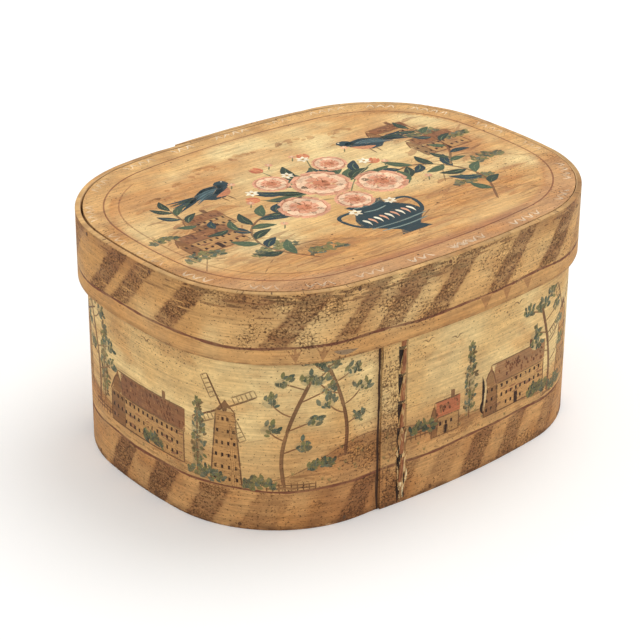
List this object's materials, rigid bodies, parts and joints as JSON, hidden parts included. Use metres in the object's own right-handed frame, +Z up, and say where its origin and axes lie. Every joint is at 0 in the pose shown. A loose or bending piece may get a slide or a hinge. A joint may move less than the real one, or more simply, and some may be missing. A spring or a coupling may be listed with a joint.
{
  "type": "oval bentwood box",
  "caption": "Oval box of bent, laced and pegged wood with a deep lift-off lid, painted on its sides and top.",
  "frame": {"origin": "middle of the underside, on the surface that the box stands on", "axes": "+Z up, +X along the box, -Y out of the front, where the box's own lap and lacing are"},
  "size_m": [0.4298, 0.3326, 0.217],
  "materials": {
    "box_side_wood": "matt, thin distemper paint",
    "lid_side_wood": "matt, thin distemper paint",
    "lid_top_wood": "matt, thin distemper paint",
    "board_wood": "planed, unpainted",
    "split_root": "dry, painted over",
    "peg_wood": "whittled, unpainted"
  },
  "bodies": {
    "box": {"body_band": "box_side_wood", "bottom_board": "board_wood", "body_lacing": "split_root", "bottom_pegs": "peg_wood"},
    "lid": {"lid_band": "lid_side_wood", "lid_board": "lid_top_wood", "lid_lacing": "split_root", "lid_pegs": "peg_wood"}
  },
  "joints": [
    {"name": "lid_lift", "type": "slide", "parent": "box", "child": "lid", "axis": [0, 0, 1], "range_m": [0, 0.14]}
  ]
}
